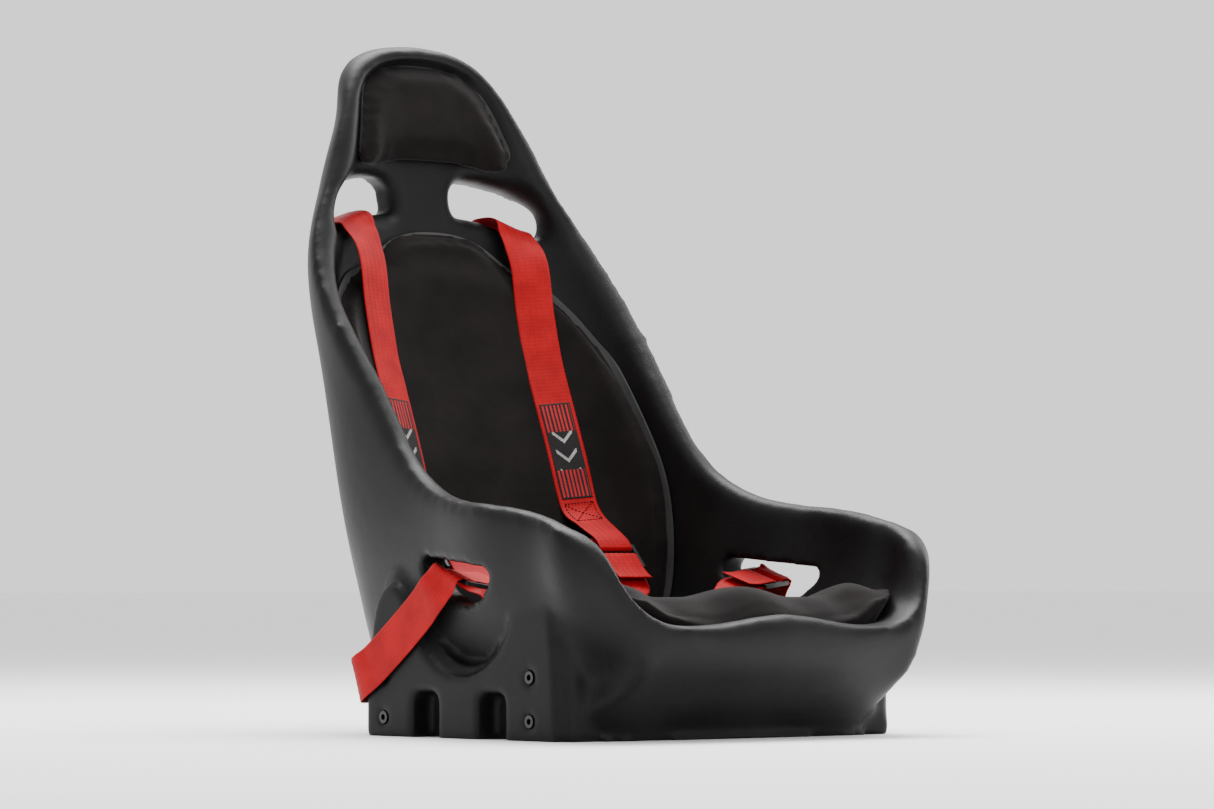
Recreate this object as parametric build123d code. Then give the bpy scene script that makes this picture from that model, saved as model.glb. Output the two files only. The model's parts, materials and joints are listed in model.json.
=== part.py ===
from build123d import *
import math
import os

os.makedirs("parts", exist_ok=True)

# A moulded bucket seat with three pads and a four-point webbing harness.
# Millimetres. +Z is up, the driver faces -Y, and X = 0 is the plane of symmetry.
# The origin is on the floor, midway between the front and rear edges of the side plates.

# Driving dimensions.
SEAT_HEIGHT = 815.0
BASE_HALF_WIDTH = 250.0
RIM_RADIUS = 15.0
WEBBING_WIDTH = 50.0
WEBBING = 1.8
GAP = 0.4
HOOK_GAP = 0.5
FAR = 400.0

# Pads, as depths measured from the inner skin of the tub.
HOOK_DEPTH = 2.0
BOARD_DEPTH = 5.0
FOAM_DEPTH = 18.0
PAD_DEPTH = 20.0
COVER = 2.0
PAD_BELOW_RIM = 9.0

# Side bolts: M8 threaded inserts.
BOLT_Y = 7.5
BOLT_Z = 45.5
BOLT_PITCH_Y = 256.0
BOLT_PITCH_Z = 48.0
INSERT_RADIUS = 7.0
INSERT_LENGTH = 18.0
INSERT_FLOOR = 2.0
THREAD_RADIUS = 3.4

# ---------------------------------------------------------------- outlines

# The rim's centre line seen from the side, as (y, z), from the front lip up to the head.
RIM_SIDE = [
    (-248, 151), (-222, 196), (-167, 227), (-56, 246), (40, 259), (114, 294), (177, 363),
    (231, 437), (283, 505), (330, 591), (362, 705), (384, 771), (404, 830),
]

# The crest of the front lip seen from the front, as (x, z), from the middle hump outwards.
LIP_FRONT = [
    (0, 139), (66, 132), (140, 126), (184, 134), (210, 152), (224, 180), (231, 215), (233, 245),
]

# The head's outline and its recess seen from the front, as (x, z).
HEAD = [(0, SEAT_HEIGHT), (46, 811), (84, 797), (113, 769), (134, 735), (154, 696), (185, 640)]
RECESS = [(0, 798), (44, 793), (77, 779), (99, 755), (111, 728), (127, 689), (152, 640)]

# Half outlines of the outer skin, one per height, as (height, front y, points). The points run
# (x, y) from the middle of the back, round the rear corner and along the side to the front corner.
OUTER = [
    (0, -196, [
        (0, 248), (105, 241), (170, 205), (196, 130), (200, 20), (200, -80), (199, -140), (196, -187),
    ]),
    (50, -236, [
        (0, 266), (107, 260), (178, 220), (203, 140), (208, 20), (210, -80), (208, -160), (201, -226),
    ]),
    (105, -275, [
        (0, 281), (110, 275), (190, 234), (219, 150), (228, 20), (234, -80), (230, -180), (212, -264),
    ]),
    (165, -275, [
        (0, 296), (113, 290), (196, 249), (226, 165), (246, 40), (259, -60), (257, -160), (234, -249),
    ]),
    (215, -275, [
        (0, 309), (115, 303), (200, 262), (231, 175), (252, 40), (270, -60), (267, -160), (243, -244),
    ]),
    (262, -275, [
        (0, 321), (117, 315), (202, 274), (233, 185), (252, 50), (274, -60), (270, -160), (246, -242),
    ]),
    (340, -275, [
        (0, 340), (117, 334), (202, 293), (232, 205), (238, 90), (270, -60), (268, -160), (246, -242),
    ]),
    (440, -275, [
        (0, 365), (118, 358), (203, 316), (237, 232), (240, 100), (264, -60), (264, -160), (246, -242),
    ]),
    (528, -275, [
        (0, 387), (118, 380), (203, 337), (238, 262), (240, 110), (260, -60), (262, -160), (246, -242),
    ]),
    (610, -275, [
        (0, 408), (98, 402), (166, 372), (202, 310), (215, 110), (240, -60), (245, -160), (240, -242),
    ]),
    (700, -275, [
        (0, 424), (75, 419), (122, 396), (153, 341), (180, 110), (220, -60), (230, -160), (230, -242),
    ]),
    (840, -275, [
        (0, 440), (66, 436), (108, 420), (138, 376), (160, 110), (210, -60), (220, -160), (220, -242),
    ]),
]

# The same for the inner skin of the tub, from the pan floor to above the head.
INNER = [
    (92, -212, [
        (0, 172), (80, 168), (138, 135), (160, 70), (168, 0), (168, -80), (164, -140), (150, -190),
    ]),
    (125, -238, [
        (0, 208), (92, 203), (160, 168), (186, 95), (198, 10), (206, -70), (203, -150), (184, -216),
    ]),
    (170, -245, [
        (0, 231), (98, 226), (172, 190), (198, 115), (212, 25), (228, -65), (229, -150), (210, -223),
    ]),
    (215, -245, [
        (0, 247), (100, 242), (175, 206), (201, 135), (219, 35), (239, -60), (238, -150), (218, -222),
    ]),
    (262, -245, [
        (0, 264), (101, 259), (177, 224), (203, 150), (221, 45), (244, -60), (241, -150), (220, -221),
    ]),
    (340, -245, [
        (0, 292), (101, 287), (177, 256), (202, 180), (210, 90), (238, -60), (238, -150), (220, -221),
    ]),
    (440, -245, [
        (0, 330), (103, 325), (180, 297), (207, 225), (211, 100), (234, -60), (236, -150), (220, -221),
    ]),
    (528, -245, [
        (0, 352), (104, 347), (176, 322), (206, 262), (211, 110), (230, -60), (234, -150), (220, -221),
    ]),
    (610, -245, [
        (0, 366), (86, 362), (144, 342), (173, 295), (185, 110), (210, -60), (218, -150), (214, -221),
    ]),
    (700, -245, [
        (0, 381), (66, 379), (105, 366), (127, 332), (150, 110), (190, -60), (202, -150), (200, -221),
    ]),
    (840, -245, [
        (0, 407), (56, 405), (88, 394), (112, 365), (130, 110), (180, -60), (192, -150), (190, -221),
    ]),
]

# The front corner is a crease up to this height, and round above it.
CREASE_TOP = 150

# Half of a side plate's top edge seen from the side, as (y, z): a scoop in the middle under the
# lap opening, then an arch, then the plate's end.
PLATE_TOP = [(0, 69), (45, 82), (76, 112), (97, 152), (122, 172), (146, 156), (158, 118), (167, 0)]
PLATE_INNER_X = 185.0
RIDGE_X = 238.0
RIDGE_MARGIN = 12.0

# Openings, with the lap opening as (y, z) and the shoulder slot as (x, z).
LAP_OPENING = [
    (72, 203), (-62, 190), (-67, 176), (-40, 154), (-12, 147), (18, 150), (54, 164), (76, 186),
]
LAP_CORNER = 7.0
SLOT = [
    (46, 612), (46, 644), (62, 655), (92, 652), (128, 643), (156, 625), (168, 604), (162, 587),
    (150, 587), (90, 607),
]
SLOT_CORNER = 5.0
SLOT_BEVEL = 10.0
NOTCHES = [(-79, -31), (38, 84)]
NOTCH_HEIGHT = 51.0
NOTCH_CORNER = 12.0
NOTCH_FLOOR_X = 222.0

# Pad outlines seen from the front, as (x, z), and the back pad's front edge as (y, z).
HEAD_PAD = [
    (0, 679), (40, 677), (80, 670), (104, 669), (115, 682), (112, 706), (103, 736), (94, 759),
    (78, 779), (44, 790), (0, 793),
]
HEAD_PAD_CORNER_Z = 680.0
BACK_PAD = [
    (0, 592), (44, 588), (72, 578), (94, 563), (116, 549), (140, 541), (166, 521), (186, 490),
    (200, 440), (212, 380),
]
BACK_PAD_EDGE = [
    (345, 560), (310, 500), (272, 460), (237, 420), (203, 375), (176, 330), (158, 286), (147, 240),
    (142, 200), (141, 128),
]
BACK_PAD_BOTTOM = 128.0
SEAT_PAD_TOP = [(-252, 126), (-236, 146), (-200, 161), (-140, 156), (-60, 134), (30, 123), (132, 130)]
SEAT_PAD_REAR = 132.0


# ---------------------------------------------------------------- helpers

SPACES = {}


def closed_face(*curves):
    """A flat face bounded by curves that meet end to end."""
    return make_face([edge for curve in curves for edge in curve.edges()])


def moved_left(points, distance, ends=None):
    """Points along a smooth curve, each moved off it to its left by a distance."""
    moved = []
    last = len(points) - 1
    for index, (x, y) in enumerate(points):
        before = points[max(index - 1, 0)]
        after = points[min(index + 1, last)]
        along = (after[0] - before[0], after[1] - before[1])
        if ends and index in (0, last):
            along = ends[0] if index == 0 else ends[1]
        length = math.hypot(*along)
        moved.append((x - distance * along[1] / length, y + distance * along[0] / length))
    return moved


def half_section(z, side, front_y, outwards):
    """One closed half outline at a height, from the middle of the back to the middle of the front."""
    if z < CREASE_TOP:
        side_end, front_start = (-0.15, -1), (-1, -0.1)
    else:
        side_end, front_start = (-0.7, -0.7), (-0.7, -0.7)
    corner = (side[-1][0] + outwards, side[-1][1] - outwards)
    side = moved_left(side, outwards, ((1, 0), side_end))
    side[0] = (0, side[0][1])
    if z < CREASE_TOP:
        side[-1] = corner
    front_y -= outwards
    corner = side[-1]
    flank = Spline(*side, tangents=((1, 0), side_end))
    front = Spline(corner, (0.45 * corner[0], front_y + 2), (0, front_y), tangents=(front_start, (-1, 0)))
    return Plane.XY.offset(z) * closed_face(flank, front, Line((0, front_y), side[0]))


def half_tub(levels, outwards, bottom):
    """The solid inside a stack of half outlines, all moved outwards, with its underside at bottom."""
    heights = [bottom] + [level[0] for level in levels[1:]]
    return loft([
        half_section(z, side, front_y, outwards) for z, (_, front_y, side) in zip(heights, levels)
    ])


def under_outline(points):
    """Everything below a half outline of the head, seen from the front."""
    end = points[-1]
    return extrude(Plane.XZ * closed_face(
        Spline(*points, tangents=((1, 0), (0.3, -1))),
        Polyline(end, (FAR, 500), (FAR, -10), (0, -10), points[0]),
    ), 700, both=True)


def grown_outline(points, distance):
    """A front-view outline moved out from the middle, for the head and its recess."""
    moved = moved_left(points, distance, ((1, 0), (0.3, -1)))
    moved[0] = (0, moved[0][1])
    return moved


def open_tub(outwards):
    """The right half of the space inside the tub with no roof, its skin moved into the wall."""
    if outwards not in SPACES:
        SPACES[outwards] = half_tub(INNER, outwards, INNER[0][0] - outwards)
    return SPACES[outwards]


def tub_space(outwards):
    """The right half of the space inside the tub, under the roof of the head's recess."""
    return open_tub(outwards) & under_outline(grown_outline(RECESS, outwards))


def above_rim(lowered):
    """What is cut away over the rim and the front lip, with the cut moved down by a distance."""
    crest = [(-282, 126 - lowered)] + moved_left(RIM_SIDE, RIM_RADIUS - lowered)
    over_sides = extrude(Plane.YZ * closed_face(
        Spline(*crest),
        Polyline(crest[-1], (crest[-1][0], 900), (-700, 900), (-700, crest[0][1]), crest[0]),
    ), FAR, both=True)
    lip = [(x, z - lowered) for x, z in LIP_FRONT]
    over_lip = extrude(Plane.XZ.offset(190) * closed_face(
        Spline(*lip, tangents=((1, 0), (0, 1))),
        Polyline(lip[-1], (lip[-1][0], 500), (0, 500), lip[0]),
    ), 300)
    return over_sides + over_lip


def half_body(inset):
    """The right half of the moulding, with every skin moved into the wall by an inset."""
    outer = half_tub(OUTER, -inset, inset) & under_outline(grown_outline(HEAD, -inset))
    return outer - above_rim(inset) - tub_space(inset)


def rounded_face(points, radius):
    """A polygon with rounded corners."""
    flat = make_face(Polyline(*points, close=True).edges())
    return fillet(flat.vertices(), radius)


# ---------------------------------------------------------------- shell

def side_plate(margin, outer_x):
    """A proud side plate: a scoop between two arches, its edge moved out by a margin."""
    half = moved_left(PLATE_TOP, margin, ((1, 0), (0, -1)))
    half[0] = (0, half[0][1])
    half[-1] = (half[-1][0], 0)
    mirrored = [(-y, z) for y, z in reversed(half)]
    top = Spline(*mirrored[:-1], *half, tangents=((0, 1), (0, -1)))
    face = closed_face(top, Line(half[-1], mirrored[0]))
    return extrude(Plane.YZ.offset(PLATE_INNER_X) * face, outer_x - PLATE_INNER_X)


def notch(y_from, y_to):
    """A hand-wide recess in the bottom edge of a side plate, with a rounded top."""
    outline = [(y_from, -2 * NOTCH_CORNER), (y_to, -2 * NOTCH_CORNER),
               (y_to, NOTCH_HEIGHT), (y_from, NOTCH_HEIGHT)]
    face = Plane.YZ.offset(NOTCH_FLOOR_X) * rounded_face(outline, NOTCH_CORNER)
    return extrude(face, BASE_HALF_WIDTH)


def bolt_places():
    """The four bolt centres on a side plate, as (y, z)."""
    return [(BOLT_Y + sy * BOLT_PITCH_Y / 2, BOLT_Z + sz * BOLT_PITCH_Z / 2)
            for sy in (-1, 1) for sz in (-1, 1)]


def insert_pocket(y, z):
    """The round pocket a threaded insert sits in, open at the plate's face."""
    middle = BASE_HALF_WIDTH - INSERT_LENGTH / 2
    return Pos(middle, y, z) * Rot(0, 90, 0) * Cylinder(INSERT_RADIUS, INSERT_LENGTH)


def slot_cutter(margin):
    """The shoulder slot, straight through the back, with its outline moved out by a margin."""
    face = rounded_face(SLOT, SLOT_CORNER)
    if margin:
        face = offset(face, margin)
    return extrude(Plane.XZ.offset(-250) * face, -300)


def lap_cutter():
    """The lap opening, straight through the side."""
    return extrude(Plane.YZ.offset(120) * rounded_face(LAP_OPENING, LAP_CORNER), 250)


def shell_half():
    """The right half of the moulding with its side plate, openings, notches and insert pockets."""
    half = half_body(0) + side_plate(0, BASE_HALF_WIDTH) + side_plate(RIDGE_MARGIN, RIDGE_X)
    half -= tub_space(0)
    half -= slot_cutter(0)
    half -= slot_cutter(SLOT_BEVEL) & tub_space(SLOT_BEVEL)
    half -= lap_cutter()
    for y_from, y_to in NOTCHES:
        half -= notch(y_from, y_to)
    for y, z in bolt_places():
        half -= insert_pocket(y, z)
    return half


# ---------------------------------------------------------------- pads

def pad_layer(outline, deep, shallow):
    """The part of an outline that lies between two depths off the tub's inner skin, both sides."""
    half = (tub_space(-deep) - open_tub(-shallow)) & outline
    half -= above_rim(RIM_RADIUS - PAD_BELOW_RIM)
    return half + mirror(half, Plane.YZ)


def head_outline(margin):
    """The headrest pad seen from the front: wide below, round above, its edge moved in by a margin."""
    points = []
    for x, z in HEAD_PAD:
        inwards = margin if z < HEAD_PAD_CORNER_Z else -margin
        points.append((max(0, x - margin), z + inwards))
    face = closed_face(Spline(*points, tangents=((1, 0), (-1, 0))), Line(points[-1], points[0]))
    return extrude(Plane.XZ.offset(-250) * face, -300)


def back_outline(margin):
    """The back pad: a round top with a shoulder each side, its front edge following the bolsters."""
    top = [(max(0, x - margin), z - margin) for x, z in BACK_PAD]
    bottom_z = BACK_PAD_BOTTOM + margin
    end = (top[-1][0], bottom_z)
    seen_from_front = closed_face(Spline(*top), Polyline(top[-1], end, (0, bottom_z), top[0]))
    edge = [(y + margin, z) for y, z in BACK_PAD_EDGE]
    behind = Polyline(edge[-1], (edge[-1][0], 0), (600, 0), (600, 700), (edge[0][0], 700), edge[0])
    seen_from_side = closed_face(Spline(*edge), behind)
    return extrude(Plane.XZ * seen_from_front, 700, both=True) & extrude(Plane.YZ * seen_from_side, FAR)


def seat_space(depth, top_drop, rear_gap):
    """The seat pad's space: the pan above a depth off its skin, under the pad's crowned top."""
    top = [(y, z - top_drop) for y, z in SEAT_PAD_TOP]
    rear = SEAT_PAD_REAR - rear_gap
    top[-1] = (rear, top[-1][1])
    under = closed_face(Spline(*top), Polyline(top[-1], (rear, 0), (top[0][0], 0), top[0]))
    half = tub_space(-depth) & extrude(Plane.YZ * under, FAR)
    return half + mirror(half, Plane.YZ)


# ---------------------------------------------------------------- harness dimensions

STRAP_X = 120.0
ACROSS_X = (1, 0, 0)
PAD_SLANT = (1, -0.28, 0)
BACK_SLANT = (1, -0.27, 0)
SLOT_SLANT = (1, 0, -0.333)

# The shoulder strap, as (y, z, across): up the back of the shell, through the slot, down the back
# pad, then away from the pad towards the driver's lap.
SHOULDER_RUN = [
    (289, 155, BACK_SLANT), (321, 270, BACK_SLANT), (352, 400, BACK_SLANT), (383, 525, BACK_SLANT),
    (400, 587, (1, -0.3, -0.15)), (403, 600, (1, -0.12, -0.333)), (388, 604, SLOT_SLANT),
    (358, 602.5, SLOT_SLANT), (347, 591, (1, -0.2, -0.2)), (327, 566, PAD_SLANT), (319, 545, PAD_SLANT),
    (311.5, 500, PAD_SLANT), (296, 440, PAD_SLANT), (281, 400, PAD_SLANT), (253.5, 330, PAD_SLANT),
    (231.5, 270, PAD_SLANT), (222, 255, PAD_SLANT), (193, 235, (1, -0.12, 0)),
]
SHOULDER_BAR = (STRAP_X, 165, 213)
SHOULDER_NORMAL = (0, -0.75, 0.66)

# The lap strap's outer run, as (point, across), from the rear edge of the side plate to the opening.
LAP_RISE = (0, 0.59, 0.81)
LAP_OUTER = [
    ((247, 187, 61), (0.15, 0.15, 1)), ((255, 173, 66), (0.05, 0.35, 0.93)),
    ((254, 150, 79), LAP_RISE), ((254, 100, 114), LAP_RISE), ((255, 60, 144), LAP_RISE),
    ((256, 42, 160), (0, 0.72, 0.69)), ((252, 31, 173), (0, 0.86, 0.51)),
]
LAP_BAR = (238, 24, 180)
LAP_ACROSS = (0, -0.96, -0.28)
LAP_NORMAL = (-0.15, -0.28, 0.95)
BELT_Z = 60.0
BELT_OFF = 6.5

# Adjusters: a frame with three round bars. The webbing's sewn loop turns on the first bar.
BAR_PITCH = 13.0
BAR_RADIUS = 2.0
BAR_FIT = 0.25
BAR_LENGTH = 53.0
RAIL_WIDTH = 4.5
RAIL_HEIGHT = 4.4
TAIL_LENGTH = 42.0
LOOP_LENGTH = 17.0
LOOP_WIDTH = WEBBING_WIDTH - 0.4
LOOP_JOIN = LOOP_LENGTH - 3
LEG = BAR_RADIUS + BAR_FIT + WEBBING / 2

# The buckle: a round four-tongue buckle with a turning knob.
BUCKLE_Y = 15.0
BUCKLE_Z = 128.0
BUCKLE_RADIUS = 36.0
BASE_PLATE = 3.0
TONGUE_THICKNESS = 2.5
RIVET_ANGLES = (22, 90, 158, 270)
RIVET_CIRCLE = 32.6
RIVET_RADIUS = 1.5
RIVET_GRIP = 5.0
TONGUE_NECK = 24.0
CHANNEL_HEIGHT = 3.6
HOUSING_HEIGHT = 14.0
PIN_CIRCLE = 24.5
PIN_RADIUS = 3.2
LATCH_TRAVEL = 4.0
SHAFT_RADIUS = 6.0
SHOULDER_ANGLE = 55.0
LAP_ANGLE = -12.0
TONGUE_ANGLES = (SHOULDER_ANGLE, 180 - SHOULDER_ANGLE, LAP_ANGLE, 180 - LAP_ANGLE)
NECK_START = 19.5
TONGUE_HEAD = (52.0, 68.0)
TONGUE_SLOT = (56.0, 63.0)

# The woven label on each shoulder strap, by height.
LABEL_WIDTH = 40.0
LABEL_RUN = [(275.5, 386), (253.5, 330), (232.2, 272)]
LABEL_THICKNESS = 0.8


# ---------------------------------------------------------------- webbing

def band(stations, width=WEBBING_WIDTH, thickness=WEBBING, lift=0.0):
    """A strap through stations of (centre, across), as straight runs between rectangles."""
    centres = [Vector(*centre) for centre, _ in stations]
    faces = []
    for index, (_, across) in enumerate(stations):
        before = centres[max(index - 1, 0)]
        after = centres[min(index + 1, len(centres) - 1)]
        along = (after - before).normalized()
        side = Vector(*across)
        side = (side - along * side.dot(along)).normalized()
        normal = along.cross(side)
        plane = Plane(origin=centres[index] + normal * lift, x_dir=side, z_dir=along)
        faces.append(plane * Rectangle(width, thickness))
    return loft(faces, ruled=True)


def adjuster_plane(origin, across, normal):
    """The adjuster's own plane: X along its bars, Y back up the strap, Z away from the seat."""
    return Plane(origin=origin, x_dir=across, z_dir=normal)


SHOULDER_PLANE = adjuster_plane(SHOULDER_BAR, ACROSS_X, SHOULDER_NORMAL)
LAP_PLANE = adjuster_plane(LAP_BAR, LAP_ACROSS, LAP_NORMAL)


def adjuster(plane):
    """Two side rails joined by three round bars."""
    frame = Part()
    rail_length = 2 * BAR_PITCH + 8
    for side in (-1, 1):
        x = side * (BAR_LENGTH / 2 + RAIL_WIDTH / 2 - 0.5)
        frame += Pos(x, -BAR_PITCH, 0) * Box(RAIL_WIDTH, rail_length, RAIL_HEIGHT)
    for place in range(3):
        frame += Pos(0, -place * BAR_PITCH, 0) * Rot(0, 90, 0) * Cylinder(BAR_RADIUS, BAR_LENGTH)
    return plane * frame


def sewn_loop(plane):
    """The folded end of a strap, sewn to itself behind the first bar."""
    outside = BAR_RADIUS + BAR_FIT + WEBBING
    block = Rot(0, 90, 0) * Cylinder(outside, LOOP_WIDTH)
    block += Pos(0, LOOP_LENGTH / 2, 0) * Box(LOOP_WIDTH, LOOP_LENGTH, 2 * outside)
    block -= Rot(0, 90, 0) * Cylinder(BAR_RADIUS + BAR_FIT, WEBBING_WIDTH + 2)
    return plane * block


def wrap(plane):
    """The webbing that turns round the middle bar, with its free tail over the last bar."""
    centre = Pos(0, -BAR_PITCH, 0)
    outside = BAR_RADIUS + BAR_FIT + WEBBING
    ring = Rot(0, 90, 0) * Cylinder(outside, WEBBING_WIDTH)
    ring -= Rot(0, 90, 0) * Cylinder(BAR_RADIUS + BAR_FIT, WEBBING_WIDTH + 2)
    ring -= Pos(0, -outside / 2, 0) * Box(WEBBING_WIDTH + 2, outside, 2 * (outside - WEBBING))
    solid = centre * ring
    back_length = BAR_PITCH + 7
    solid += Pos(0, -BAR_PITCH - back_length / 2, -LEG) * Box(WEBBING_WIDTH, back_length, WEBBING)
    solid += Pos(0, -BAR_PITCH - TAIL_LENGTH / 2, LEG) * Box(WEBBING_WIDTH, TAIL_LENGTH, WEBBING)
    return plane * solid


def at_plane(plane, x, y, z):
    """A point given in an adjuster's own plane."""
    return tuple(plane.from_local_coords(Vector(x, y, z)))


def shoulder_upper():
    top = at_plane(SHOULDER_PLANE, 0, LOOP_JOIN, 0)
    stations = [((STRAP_X, y, z), across) for y, z, across in SHOULDER_RUN]
    stations.append((top, ACROSS_X))
    return band(stations) + sewn_loop(SHOULDER_PLANE)


def label():
    """A woven label sewn on the strap's face, over its straight run down the pad."""
    stations = [((STRAP_X, y, z), PAD_SLANT) for y, z in LABEL_RUN]
    lift = WEBBING / 2 + LABEL_THICKNESS / 2 + 0.2
    return band(stations, LABEL_WIDTH, LABEL_THICKNESS, lift)


def tongue_plane(angle):
    """X runs out of the buckle along a tongue, Z is up."""
    turned = math.radians(angle)
    return Plane(
        origin=(0, BUCKLE_Y, BUCKLE_Z + BASE_PLATE + 1.0 + TONGUE_THICKNESS / 2),
        x_dir=(math.cos(turned), math.sin(turned), 0), z_dir=(0, 0, 1))


def tongue(angle):
    """A flat steel tongue: a neck with a latch hole, and a wide head with a webbing slot."""
    inner, outer = TONGUE_HEAD
    neck_length = inner - NECK_START + 2
    neck = Pos(NECK_START + neck_length / 2, 0, 0) * Box(neck_length, TONGUE_NECK, TONGUE_THICKNESS)
    head = Pos((inner + outer) / 2, 0, 0) * Box(outer - inner, WEBBING_WIDTH + 7, TONGUE_THICKNESS)
    head = fillet(head.edges().filter_by(Axis.Z), 3)
    slot_inner, slot_outer = TONGUE_SLOT
    slot = Pos((slot_inner + slot_outer) / 2, 0, 0) * Box(slot_outer - slot_inner, WEBBING_WIDTH + 1.2, 9)
    hole = Pos(PIN_CIRCLE, 0, 0) * Cylinder(PIN_RADIUS + 0.4, 9)
    return tongue_plane(angle) * (neck + head - slot - hole)


def tongue_loop(angle):
    """The end of a strap folded round the tongue's outer bar."""
    inner, outer = TONGUE_SLOT[1], TONGUE_HEAD[1]
    length = outer - inner + 2 * (BAR_FIT + WEBBING)
    height = TONGUE_THICKNESS + 2 * (BAR_FIT + WEBBING)
    block = Box(length, WEBBING_WIDTH, height)
    block -= Box(length - 2 * WEBBING, WEBBING_WIDTH + 2, height - 2 * WEBBING)
    return tongue_plane(angle) * (Pos((inner + outer) / 2, 0, 0) * block)


def tongue_end(angle, radius):
    """A point and the across direction of a strap as it leaves a tongue."""
    plane = tongue_plane(angle)
    return at_plane(plane, radius, 0, 0), tuple(plane.y_dir)


def below_adjuster(plane):
    """Two points where the lower strap runs straight on from the webbing in an adjuster."""
    first = 2 * BAR_PITCH + 9
    return [at_plane(plane, 0, -first - step, -LEG) for step in (0, 9)]


def shoulder_lower():
    near, across = tongue_end(SHOULDER_ANGLE, TONGUE_HEAD[1] + BAR_FIT + WEBBING - 0.5)
    far, _ = tongue_end(SHOULDER_ANGLE, TONGUE_HEAD[1] + 14)
    across = (-across[0], -across[1], 0)
    stations = [(point, ACROSS_X) for point in below_adjuster(SHOULDER_PLANE)]
    stations += [((108, 127, 167), (1, -0.15, 0)), ((86, 116, 150), (0.85, -0.5, 0)),
                 (far, across), (near, across)]
    return band(stations) + tongue_loop(SHOULDER_ANGLE)


def rear_belt():
    """Half of the lap belt's run round the back of the shell, as stations."""
    low, high = OUTER[1], OUTER[2]
    share = (BELT_Z - low[0]) / (high[0] - low[0])
    side = [((1 - share) * a[0] + share * b[0], (1 - share) * a[1] + share * b[1])
            for a, b in zip(low[2], high[2])]
    line = Spline(*side)
    stations = []
    for place in (0.05, 0.12, 0.18, 0.22, 0.26, 0.31):
        here = line @ place
        along = line % place
        outwards = (-along.Y, along.X)
        point = (here.X + BELT_OFF * outwards[0], here.Y + BELT_OFF * outwards[1], BELT_Z)
        stations.append((point, (0.3 * outwards[0], 0.3 * outwards[1], 1)))
    return stations


def lap_belt():
    """One strap from the left opening, round the back of the shell, to the right opening."""
    end = at_plane(LAP_PLANE, 0, LOOP_JOIN, 0)
    half = rear_belt() + LAP_OUTER + [(end, (0, 0.96, 0.28))]
    other = [((-x, y, z), (-ax, ay, az)) for (x, y, z), (ax, ay, az) in reversed(half)]
    loop = sewn_loop(LAP_PLANE)
    return band(other + half) + loop + mirror(loop, Plane.YZ)


def lap_inner():
    near, across = tongue_end(LAP_ANGLE, TONGUE_HEAD[1] + BAR_FIT + WEBBING - 0.5)
    far, _ = tongue_end(LAP_ANGLE, TONGUE_HEAD[1] + 14)
    stations = [(point, (0, 0.96, 0.28)) for point in below_adjuster(LAP_PLANE)]
    stations += [((178, 22, 163), (0, 0.98, 0.2)), ((148, 12, 149), (0, 1, 0.08)),
                 ((110, 4, 138), (0, 1, 0)), (far, across), (near, across)]
    return band(stations) + tongue_loop(LAP_ANGLE)


# ---------------------------------------------------------------- buckle

def buckle_place(height):
    """The middle of the buckle, at a height over the back plate's underside."""
    return Pos(0, BUCKLE_Y, BUCKLE_Z + height)


def disc(radius, bottom, top):
    """A disc round the buckle's middle, between two heights."""
    return buckle_place((bottom + top) / 2) * Cylinder(radius, top - bottom)


def buckle_base():
    """The steel back plate, with holes for the rivets."""
    base = disc(BUCKLE_RADIUS, 0, BASE_PLATE)
    base = fillet(base.edges().group_by(Axis.Z)[0], 1)
    for angle in RIVET_ANGLES:
        base -= buckle_place(0) * Rot(0, 0, angle) * Pos(RIVET_CIRCLE, 0, 0) * Cylinder(RIVET_RADIUS, 20)
    return base


def rivets():
    """Four rivets that hold the housing to the back plate."""
    group = []
    for angle in RIVET_ANGLES:
        place = buckle_place((BASE_PLATE + RIVET_GRIP) / 2) * Rot(0, 0, angle)
        group.append(place * Pos(RIVET_CIRCLE, 0, 0) * Cylinder(RIVET_RADIUS, BASE_PLATE + RIVET_GRIP))
    return group


def buckle_housing():
    """The cast body: four tongue channels, a round chamber for the latch plate and a shaft hole."""
    low = BASE_PLATE
    top = low + HOUSING_HEIGHT
    body = disc(BUCKLE_RADIUS, low, top)
    body = fillet(body.edges().group_by(Axis.Z)[-1], 4)
    body -= disc(PIN_CIRCLE + PIN_RADIUS + 1.2, low - 1, top - 2.5)
    body -= disc(SHAFT_RADIUS + 0.06, 0, top + 1)
    channel = Pos(30, 0, 0) * Box(40, TONGUE_NECK + 0.8, CHANNEL_HEIGHT)
    for angle in TONGUE_ANGLES:
        body -= buckle_place(low + CHANNEL_HEIGHT / 2) * Rot(0, 0, angle) * channel
    for angle in RIVET_ANGLES:
        hole = Pos(RIVET_CIRCLE, 0, 0) * Cylinder(RIVET_RADIUS, 2 * (BASE_PLATE + RIVET_GRIP))
        body -= buckle_place(0) * Rot(0, 0, angle) * hole
    return body


def latch_plate():
    """A disc with four pins that hold the tongues; it lifts when the knob turns."""
    under = BASE_PLATE + CHANNEL_HEIGHT + 0.6
    plate = disc(PIN_CIRCLE + PIN_RADIUS + 0.6, under, under + 2)
    for angle in TONGUE_ANGLES:
        pin = Cylinder(PIN_RADIUS, CHANNEL_HEIGHT + 0.5)
        plate += buckle_place(under - CHANNEL_HEIGHT / 2) * Rot(0, 0, angle) * (Pos(PIN_CIRCLE, 0, 0) * pin)
    return plate


def latch_spring():
    """The coil that presses the latch plate down."""
    low = BASE_PLATE + CHANNEL_HEIGHT + 2.6
    roof = BASE_PLATE + HOUSING_HEIGHT - 2.5
    wire = 0.5
    path = Helix(pitch=1.5, height=roof - low - 2 * wire - 0.2, radius=14)
    coil = sweep(Plane(origin=path @ 0, z_dir=path % 0) * Circle(wire), path=path, is_frenet=True)
    return buckle_place(low + wire + 0.1) * coil


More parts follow.
